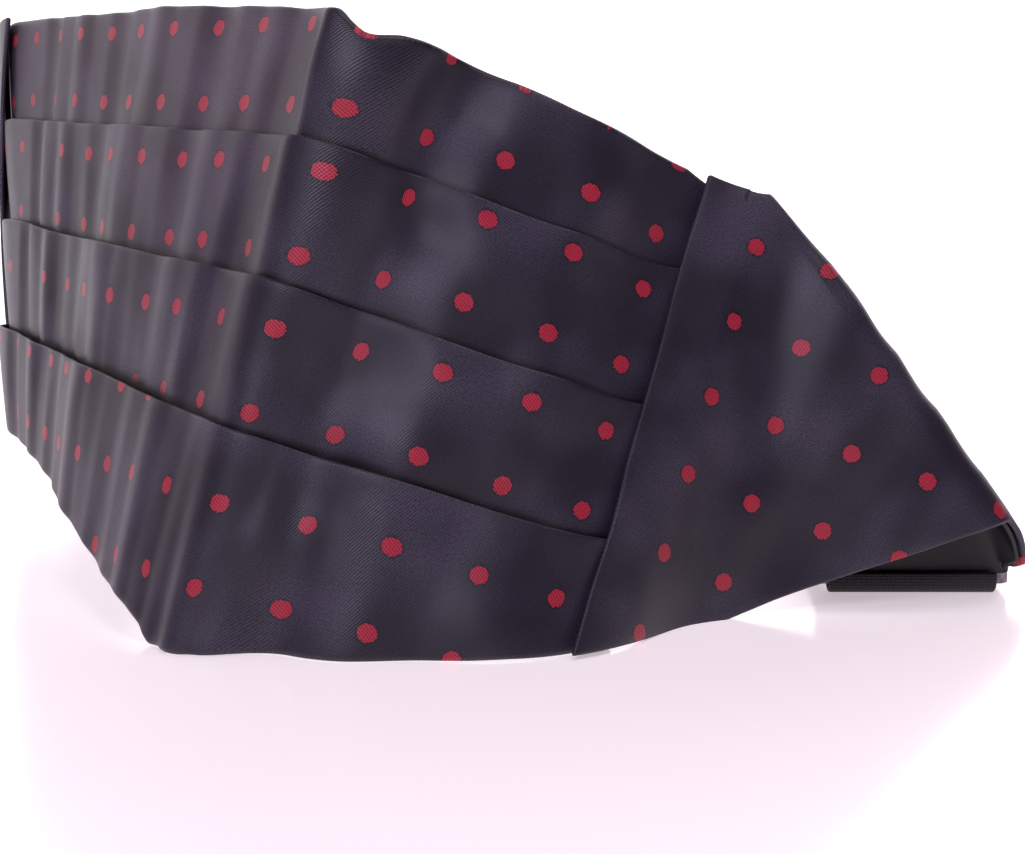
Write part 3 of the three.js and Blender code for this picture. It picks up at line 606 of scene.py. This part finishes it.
def plain_uv(grid):
    u = np.concatenate([[0], np.cumsum(np.linalg.norm(np.diff(grid[:, 0], axis=0), axis=-1))])
    v = np.concatenate([[0], np.cumsum(np.linalg.norm(np.diff(grid[0], axis=0), axis=-1))])
    return np.stack(np.meshgrid(u, v, indexing="ij"), -1) / DOT_PITCH


lining_y = np.linspace(0, 1, 60)
tops, hems = edge("top", columns) + 2 * SATIN_T, edge("hem", columns) - 3 * SATIN_T
front_back = cloth(columns[:, None], tops[:, None] + lining_y * (hems - tops)[:, None], 0.0)
lining_front = thick_sheet("lining_front", front_back, grid_normals(front_back, 1), plain_uv(front_back),
                           BACK, -LAYER_GAP)
lining_r = thick_sheet("lining_right_wing", lining_grid(right_grid), right_normals[8:],
                       plain_uv(right_grid[8:]), BACK, -LAYER_GAP)
lining_l = thick_sheet("lining_left_wing", lining_grid(left_grid), left_normals[8:],
                       plain_uv(left_grid[8:]), BACK, -LAYER_GAP)

# %% [markdown]
# ## Straps and tab
#
# The straps are flat woven bands. A short tab wraps the slide's front bar, and the long strap wraps
# its back bar, lies flat for a little, then turns up on its edge and follows the back of the loop.
# Each is a ribbon along a smooth curve, with a rounded selvedge.

# %% Ribbon helper


def curve_point(points, count, centripetal=True):
    """Smooth curve through points, at evenly counted parameters."""
    p = np.array(points, float)
    t = np.linspace(0, 1, count + 1) * (len(p) - 1)
    k = np.minimum(t.astype(int), len(p) - 2)
    w = (t - k)[:, None]
    p0 = np.where((k > 0)[:, None], p[np.maximum(k - 1, 0)], 2 * p[0] - p[1])
    p1, p2 = p[k], p[k + 1]
    p3 = np.where((k + 2 < len(p))[:, None], p[np.minimum(k + 2, len(p) - 1)], 2 * p[-1] - p[-2])
    if centripetal:
        d0, d1, d2 = (np.sqrt(np.maximum(np.linalg.norm(b - a, axis=-1), 1e-8))[:, None]
                      for a, b in ((p0, p1), (p1, p2), (p2, p3)))
        t1 = ((p1 - p0) / d0 - (p2 - p0) / (d0 + d1) + (p2 - p1) / d1) * d1
        t2 = ((p2 - p1) / d1 - (p3 - p1) / (d1 + d2) + (p3 - p2) / d2) * d1
    else:
        t1, t2 = (p2 - p0) / 2, (p3 - p1) / 2
    return ((2 * w**3 - 3 * w**2 + 1) * p1 + (w**3 - 2 * w**2 + w) * t1
            + (3 * w**2 - 2 * w**3) * p2 + (w**3 - w**2) * t2)


def ribbon(name, stations, count):
    """A woven band through stations of (middle, direction of its width)."""
    path = curve_point([p for p, _ in stations], count)
    wide = curve_point([w for _, w in stations], count, centripetal=False)
    tangent = unit(np.gradient(path, axis=0))
    wide = unit(wide - tangent * (wide * tangent).sum(-1, keepdims=True))
    normal = unit(np.cross(tangent, wide))
    reach = np.abs(wide[:, 2]) * STRAP_W / 2 + np.abs(normal[:, 2]) * STRAP_T / 2
    path[:, 2] = np.maximum(path[:, 2], reach)
    spread = np.linspace(-0.5, 0.5, 13)
    body = STRAP_W - STRAP_T
    grid = path[:, None] + wide[:, None] * (spread * body)[None, :, None]
    run = np.concatenate([[0], np.cumsum(np.linalg.norm(np.diff(path, axis=0), axis=-1))])
    uv = np.stack(np.meshgrid(run, spread * body, indexing="ij"), -1) / DOT_PITCH
    normals = np.repeat(normal[:, None], 13, 1)
    return thick_sheet(name, grid, normals, uv, -STRAP_T / 2, STRAP_T / 2)


LOOP_R = BAR * 0.5**0.5 + LAYER_GAP + STRAP_T / 2
EX = np.array([1.0, 0, 0])


def around(y, z, a0, a1, count):
    return [(np.array([SLIDE_X, y - LOOP_R * cos(a), z - LOOP_R * sin(a)]), EX)
            for a in np.radians(np.linspace(a0, a1, count + 1))]


def edge_station(x, y, up, heading):
    a, u = radians(heading), radians(up)
    wide = np.array([sin(a) * cos(u), -cos(a) * cos(u), sin(u)])
    return np.array([x, y, abs(wide[2]) * STRAP_W / 2 + cos(u) * STRAP_T / 2]), wide


# %% Make the tab and the straps
tab = ribbon("tab_loop", [
    (np.array([SLIDE_X, SLIDE_Y - LOOP_R, BAR_Z + 1.0]), EX),
    *around(SLIDE_Y, BAR_Z, 0, 180, 6),
    (np.array([SLIDE_X, SLIDE_Y + LOOP_R, BAR_Z + 4.5]), EX),
    (np.array([SLIDE_X, SLIDE_Y + LOOP_R, BAR_Z + 9.0]), EX),
], 78)

CLASP_AT, CLASP_L = np.array([-4.0, 232.0, 0.0]), 24.0
clasp_dir = np.array([cos(radians(178)), sin(radians(178)), 0])
back_bar = SLIDE_Y + SLIDE_D - BAR
start_r = CLASP_AT - clasp_dir * (CLASP_L / 2 + LAYER_GAP)
strap_right = ribbon("strap_right", [
    (np.array([SLIDE_X, back_bar + 12, BAR_Z + LOOP_R]), EX),
    (np.array([SLIDE_X, back_bar + 6, BAR_Z + LOOP_R]), EX),
    *around(back_bar, BAR_Z, -90, 90, 6),
    *[edge_station(SLIDE_X + dx, back_bar + dy, up, heading) for dx, dy, up, heading in (
        (0, 8, 0, 90), (0, 18, 0, 90), (0.5, 32, 22, 91), (0.5, 48, 56, 93), (-1, 66, 84, 97),
        (-5, 88, 90, 104), (-13, 111, 90, 113), (-24, 134, 90, 121), (-37, 156, 90, 129),
        (-52, 175, 90, 142))],
    edge_station(*(start_r - clasp_dir * 8)[:2], 90, 178),
    edge_station(*start_r[:2], 90, 178),
], 192)

left_in = np.array([left_dir[1], -left_dir[0], 0]) * (-BACK + 2 * LAYER_GAP + STRAP_T / 2)
end_l = CLASP_AT + clasp_dir * (CLASP_L / 2 + LAYER_GAP)
EZ = np.array([0, 0, 1.0])
plan = [LEFT_END + left_dir * d + left_in for d in (-6, -3, 0, 6)]
plan += [np.array([-54.0, 223.0, 0]), np.array([-36.0, 229.5, 0]), end_l + clasp_dir * 9, end_l]
strap_left = ribbon("strap_left", [(p * [1, 1, 0] + EZ * STRAP_W / 2, EZ) for p in plan], 84)

# %% [markdown]
# ## Materials
#
# Satin twill is woven from fine glossy threads. Its floats form diagonal lines about half a
# millimetre apart, and it throws back a soft purple-grey sheen where light grazes it. The red dots
# are woven in, so their edges step from thread to thread. Every pattern below reads the cloth's own
# UV map, in which one unit is 16 mm.

# %% Colour and node helpers


def srgb(hex_code):
    """Linear colour from an sRGB hex value."""
    c = [int(hex_code[k:k + 2], 16) / 255 for k in (1, 3, 5)]
    return (*[v / 12.92 if v <= 0.04045 else ((v + 0.055) / 1.055) ** 2.4 for v in c], 1.0)


def node(tree, kind, links=None, **settings):
    """Adds a node, sets its properties or sockets by name, and links its inputs."""
    n = tree.nodes.new(kind)
    for key, value in settings.items():
        if hasattr(n, key):
            setattr(n, key, value)
        else:
            n.inputs[key.replace("_", " ")].default_value = value
    for socket, source in (links or {}).items():
        tree.links.new(source, n.inputs[socket])
    return n


def maths(tree, operation, a, b=None, c=None):
    """One Math node. Numbers are set on its sockets and outputs are linked to them."""
    n = tree.nodes.new("ShaderNodeMath")
    n.operation = operation
    for k, value in enumerate((a, b, c)):
        if value is None:
            continue
        if isinstance(value, (int, float)):
            n.inputs[k].default_value = value
        else:
            tree.links.new(value, n.inputs[k])
    return n.outputs[0]


def new_material(name):
    mat = bpy.data.materials.new(name)
    mat.use_nodes = True
    mat.node_tree.nodes.clear()
    return mat, mat.node_tree


def finish_material(tree, bsdf):
    node(tree, "ShaderNodeOutputMaterial", {"Surface": bsdf.outputs["BSDF"]})


def mix(tree, factor, a, b):
    """Mixes two colours or outputs by a factor output."""
    n = tree.nodes.new("ShaderNodeMix")
    n.data_type = "RGBA"
    tree.links.new(factor, n.inputs[0])
    for socket, value in ((6, a), (7, b)):
        if isinstance(value, tuple):
            n.inputs[socket].default_value = value
        else:
            tree.links.new(value, n.inputs[socket])
    return n.outputs[2]


def ramp(tree, value, low, high):
    """0 below low, 1 above high, smooth between."""
    n = node(tree, "ShaderNodeMapRange", {"Value": value}, interpolation_type="SMOOTHSTEP")
    n.inputs["From Min"].default_value = low
    n.inputs["From Max"].default_value = high
    return n.outputs[0]


# %% Dotted satin twill
TWILL, STITCH = 0.46, 0.42     # spacing of the floats and length of a stitch, mm
DOT_R, DOT_STEP = 1.68, 0.28   # radius of a dot and the thread step of its edge, mm


def satin_material():
    """Red dots light the dark satin, and soft swells break its reflections."""
    mat, t = new_material("satin_twill_dotted")
    uv = node(t, "ShaderNodeUVMap", uv_map="cloth").outputs[0]
    split = node(t, "ShaderNodeSeparateXYZ", {"Vector": uv})
    x = maths(t, "MULTIPLY", split.outputs[0], DOT_PITCH)      # mm along the grain
    y = maths(t, "MULTIPLY", split.outputs[1], DOT_PITCH)      # mm across it
    # Twill: raised floats 60 degrees off the grain, cut into stitches.
    across = maths(t, "ADD", maths(t, "MULTIPLY", x, 0.866 / TWILL), maths(t, "MULTIPLY", y, 0.5 / TWILL))
    lines = maths(t, "MULTIPLY_ADD", maths(t, "SINE", maths(t, "MULTIPLY", across, 2 * pi)), 0.5, 0.5)
    run = maths(t, "SUBTRACT", maths(t, "MULTIPLY", x, 0.5 / STITCH),
                maths(t, "MULTIPLY", y, 0.866 / STITCH))
    phase = maths(t, "ADD", run, maths(t, "MULTIPLY", maths(t, "FLOOR", across), 0.37))
    stitch = maths(t, "MULTIPLY_ADD", maths(t, "SINE", maths(t, "MULTIPLY", phase, 2 * pi)), 0.5, 0.5)
    weave = maths(t, "MULTIPLY", lines, maths(t, "MULTIPLY_ADD", stitch, 0.45, 0.55))
    cell = []
    for c in (x, y):
        snapped = maths(t, "MULTIPLY", maths(t, "FLOOR", maths(t, "MULTIPLY", c, 1 / DOT_STEP)), DOT_STEP)
        inside = maths(t, "SUBTRACT",
                       maths(t, "FLOORED_MODULO", maths(t, "ADD", snapped, DOT_STEP / 2), DOT_PITCH),
                       DOT_PITCH / 2)
        cell.append(inside)
    far = maths(t, "SQRT", maths(t, "ADD", maths(t, "MULTIPLY", cell[0], cell[0]),
                                 maths(t, "MULTIPLY", cell[1], cell[1])))
    dot = maths(t, "LESS_THAN", far, DOT_R)
    rim = maths(t, "MULTIPLY", maths(t, "LESS_THAN", far, DOT_R + 0.35), maths(t, "SUBTRACT", 1.0, dot))
    # Dot threads run the other way, with lighter floats.
    red_run = maths(t, "SUBTRACT", maths(t, "MULTIPLY", x, 1.25), maths(t, "MULTIPLY", y, 1.6))
    red_lines = maths(t, "MULTIPLY_ADD", maths(t, "SINE", maths(t, "MULTIPLY", red_run, 2 * pi)), 0.5, 0.5)
    grain = node(t, "ShaderNodeTexNoise", {"Vector": uv}, Scale=55.0, Detail=2.0).outputs[0]
    # Painted sheen: broad noise patches lighten the satin, standing in for its soft reflections.
    sheen_patches = node(t, "ShaderNodeTexNoise", {"Vector": uv}, Scale=0.55, Detail=2.0).outputs[0]
    soft = ramp(t, sheen_patches, 0.38, 0.68)
    floats = mix(t, soft, srgb("#2c2636"), srgb("#4f485c"))
    ground = mix(t, soft, srgb("#15121c"), srgb("#221e2b"))
    fuzz = node(t, "ShaderNodeTexNoise", {"Vector": uv}, Scale=38.0, Detail=1.0).outputs[0]
    worked = maths(t, "MULTIPLY_ADD", fuzz, 0.9, maths(t, "MULTIPLY", weave, 0.55))
    navy = mix(t, ramp(t, worked, 0.3, 0.95), ground, floats)
    navy = mix(t, maths(t, "MULTIPLY", rim, 0.5), navy, srgb("#0c0a10"))
    flecks = maths(t, "MULTIPLY_ADD", grain, 0.6, maths(t, "MULTIPLY", red_lines, 0.4))
    red = mix(t, ramp(t, flecks, 0.25, 0.75), srgb("#86152a"), srgb("#c42f48"))
    lit = mix(t, dot, navy, red)
    # Painted shade: the shade map darkens the satin to near black in the pockets and on the lips' tops.
    shade = node(t, "ShaderNodeSeparateXYZ",
                 {"Vector": node(t, "ShaderNodeUVMap", uv_map="shade").outputs[0]}).outputs[0]
    colour = mix(t, maths(t, "MULTIPLY", ramp(t, shade, 0.0, 0.9), 0.92), lit, srgb("#040306"))
    height = maths(t, "ADD", maths(t, "MULTIPLY", weave, 0.9), maths(t, "MULTIPLY", dot, 0.5))
    fold = node(t, "ShaderNodeTexNoise", {"Vector": uv}, Scale=0.9, Detail=0.5, Distortion=0.3).outputs[0]
    # The cloth also ripples a little at the size of a dot's pitch.
    drape = node(t, "ShaderNodeBump", {"Height": fold}, Strength=0.6, Distance=0.001)
    bump = node(t, "ShaderNodeBump", {"Height": height, "Normal": drape.outputs[0]},
                Strength=0.35, Distance=0.00012)
    bsdf = node(t, "ShaderNodeBsdfPrincipled", {"Base Color": colour, "Normal": bump.outputs[0]},
                Roughness=0.4, IOR=1.45)
    bsdf.inputs["Sheen Weight"].default_value = 0.06
    bsdf.inputs["Sheen Roughness"].default_value = 0.4
    bsdf.inputs["Sheen Tint"].default_value = srgb("#a58fb0")
    finish_material(t, bsdf)
    return mat


# %% Lining, strap, slide and clasp
def lining_material():
    """Smooth black acetate, plain woven: even and a little glossy."""
    mat, t = new_material("black_acetate_lining")
    uv = node(t, "ShaderNodeUVMap", uv_map="cloth").outputs[0]
    weave = node(t, "ShaderNodeTexWave", {"Vector": uv}, Scale=16.0, Distortion=0.6, bands_direction="X")
    fine = node(t, "ShaderNodeTexNoise", {"Vector": uv}, Scale=6.0, Detail=3.0)
    colour = mix(t, ramp(t, fine.outputs[0], 0.3, 0.7), srgb("#0b0a0d"), srgb("#17151b"))
    bump = node(t, "ShaderNodeBump", {"Height": weave.outputs[1]}, Strength=0.2, Distance=0.0001)
    bsdf = node(t, "ShaderNodeBsdfPrincipled", {"Base Color": colour, "Normal": bump.outputs[0]},
                Roughness=0.4)
    finish_material(t, bsdf)
    return mat


def strap_material():
    """Black woven band: fine ribs with a dull sparkle."""
    mat, t = new_material("black_woven_band")
    uv = node(t, "ShaderNodeUVMap", uv_map="cloth").outputs[0]
    ribs = node(t, "ShaderNodeTexWave", {"Vector": uv}, Scale=5.0, Distortion=0.3, bands_direction="Y")
    picks = node(t, "ShaderNodeTexWave", {"Vector": uv}, Scale=9.0, Distortion=0.3, bands_direction="X")
    both = maths(t, "MULTIPLY", ribs.outputs[1], picks.outputs[1])
    colour = mix(t, both, srgb("#0d0c10"), srgb("#232029"))
    bump = node(t, "ShaderNodeBump", {"Height": both}, Strength=0.6, Distance=0.0003)
    bsdf = node(t, "ShaderNodeBsdfPrincipled", {"Base Color": colour, "Normal": bump.outputs[0]},
                Roughness=0.6)
    finish_material(t, bsdf)
    return mat


def slide_material():
    """Steel with a dull plating, rubbed by the strap: soft grey reflections."""
    mat, t = new_material("dull_plated_steel")
    at = node(t, "ShaderNodeTexCoord").outputs["Object"]
    wear = node(t, "ShaderNodeTexNoise", {"Vector": at}, Scale=900.0, Detail=4.0)
    colour = mix(t, ramp(t, wear.outputs[0], 0.35, 0.7), srgb("#6d6672"), srgb("#8f8794"))
    bsdf = node(t, "ShaderNodeBsdfPrincipled", {"Base Color": colour}, Roughness=0.38, Metallic=0.85)
    finish_material(t, bsdf)
    return mat


def clasp_material():
    """Moulded nylon with a fine grain: matt black."""
    mat, t = new_material("black_moulded_nylon")
    at = node(t, "ShaderNodeTexCoord").outputs["Object"]
    grain = node(t, "ShaderNodeTexNoise", {"Vector": at}, Scale=2200.0, Detail=3.0)
    colour = mix(t, grain.outputs[0], srgb("#141317"), srgb("#211f25"))
    bump = node(t, "ShaderNodeBump", {"Height": grain.outputs[0]}, Strength=0.15, Distance=0.0002)
    bsdf = node(t, "ShaderNodeBsdfPrincipled", {"Base Color": colour, "Normal": bump.outputs[0]},
                Roughness=0.5)
    finish_material(t, bsdf)
    return mat


satin, lining, band, metal, nylon = (satin_material(), lining_material(), strap_material(),
                                     slide_material(), clasp_material())
print("materials:", [m.name for m in (satin, lining, band, metal, nylon)])

# %% [markdown]
# ## Tying the pieces to the solids
#
# Each cloth piece stands for its plain solid and rides on the one body.

# %% Riding and replacing


def dress(obj, solid, material):
    obj.data.materials.append(material)
    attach(obj, "root")
    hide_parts(solid)


dress(front, "pleated_front", satin)
dress(wing_r, "right_wing", satin)
dress(wing_l, "left_wing", satin)
dress(lining_front, "front_lining", lining)
dress(lining_r, "right_wing_lining", lining)
dress(lining_l, "left_wing_lining", lining)
for piece, solid in ((tab, "right_tab"), (strap_right, "right_strap"), (strap_left, "left_strap")):
    dress(piece, solid, band)
for solid, material in (("slide", metal), ("clasp", nylon)):
    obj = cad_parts[solid]
    obj.data.materials.clear()
    obj.data.materials.append(material)

# %% [markdown]
# ## Table, light and camera
#
# The stage is a glossy white table that curves up into a white sweep, so the camera sees no
# horizon. The table and sweep glow with painted light, dimmer under the cummerbund and white from a
# metre back. Soft lamps stand at the left, in front, above and behind. The one in front glances off
# the swells of the satin, and the rest of the surroundings is dim, so that the cloth stays dark.

# %% Table and sweep
TABLE_HALF, SWEEP_AT, SWEEP_R = 3.0, 1.6, 1.2
turn = np.radians(np.linspace(0, 90, 13))
profile = [(-TABLE_HALF, 0.0), *zip(SWEEP_AT + SWEEP_R * np.sin(turn), SWEEP_R * (1 - np.cos(turn))),
           (SWEEP_AT + SWEEP_R, TABLE_HALF)]
verts = [(x, y, z) for y, z in profile for x in (-TABLE_HALF, TABLE_HALF)]
faces = [(2 * k, 2 * k + 1, 2 * k + 3, 2 * k + 2) for k in range(len(profile) - 1)]
sweep_mesh = bpy.data.meshes.new("white_table")
sweep_mesh.from_pydata(verts, [], faces)
sweep_mesh.shade_smooth()
table_top = bpy.data.objects.new("white_table", sweep_mesh)
bpy.context.scene.collection.objects.link(table_top)
mat, t = new_material("white_lacquer_painted_glow")
split = node(t, "ShaderNodeSeparateXYZ", {"Vector": node(t, "ShaderNodeTexCoord").outputs["Object"]})
bsdf = node(t, "ShaderNodeBsdfPrincipled", Roughness=0.2)
bsdf.inputs["Base Color"].default_value = srgb("#f6f0f3")
# Painted glow: the table gives out light of its own, dimmer under the cummerbund, white a metre back.
far = ramp(t, split.outputs[1], 0.25, 1.0)
t.links.new(mix(t, far, srgb("#b8adb1"), srgb("#ffffff")), bsdf.inputs["Emission Color"])
bsdf.inputs["Emission Strength"].default_value = 1.0
finish_material(t, bsdf)
table_top.data.materials.append(mat)

# %% World and lamps
world = bpy.data.worlds.new("studio")
bpy.context.scene.world = world
world.use_nodes = True
t = world.node_tree
t.nodes.clear()
sky = node(t, "ShaderNodeSeparateXYZ", {"Vector": node(t, "ShaderNodeTexCoord").outputs["Generated"]})
behind = ramp(t, maths(t, "SUBTRACT", sky.outputs[1], maths(t, "MULTIPLY", sky.outputs[0], 0.5)), -0.5, 0.6)
glow = mix(t, behind, srgb("#4c4753"), srgb("#665863"))
shown = node(t, "ShaderNodeLightPath").outputs["Is Camera Ray"]
colour = mix(t, shown, glow, srgb("#fffdfe"))
back = node(t, "ShaderNodeBackground", {"Color": colour}, Strength=1.0)
node(t, "ShaderNodeOutputWorld", {"Surface": back.outputs[0]})


def softbox(name, at, look, size, watts, tint="#fff2f6"):
    data = bpy.data.lights.new(name, "AREA")
    data.size, data.energy, data.color = size, watts, srgb(tint)[:3]
    lamp = bpy.data.objects.new(name, data)
    lamp.location = at
    lamp.rotation_euler = (Vector(look) - Vector(at)).to_track_quat("-Z", "Y").to_euler()
    bpy.context.scene.collection.objects.link(lamp)
    return lamp


softbox("lamp_left", (-1.0, 0.4, 0.5), (0, 0, 0.05), 0.6, 1.6, "#ffe4ee")
softbox("lamp_front", (-0.5, -1.05, 0.8), (0, 0, 0.05), 0.45, 7, "#efeaff")
softbox("lamp_above", (0.3, -0.2, 1.2), (0, -0.05, 0.05), 0.7, 4)
softbox("lamp_back", (0.5, 1.2, 0.8), (0, 0, 0.05), 1.0, 3.5)

# %% Camera
FOCAL_PX, PICTURE_W = 2041, 1025
CAMERA_AT, CAMERA_DOWN = np.array([3.0, -375.0, 105.083]), 9.9485      # mm and degrees
camera_data = bpy.data.cameras.new("camera")
camera_data.sensor_width = 36.0
camera_data.lens = camera_data.sensor_width * FOCAL_PX / PICTURE_W
camera_data.clip_start = 0.01
camera = bpy.data.objects.new("camera", camera_data)
camera.location = (CAMERA_AT + SHIFT) * MM
camera.rotation_euler = (radians(90 - CAMERA_DOWN), 0, 0)
bpy.context.scene.collection.objects.link(camera)
bpy.context.scene.camera = camera
bpy.context.scene.view_settings.view_transform = "Standard"
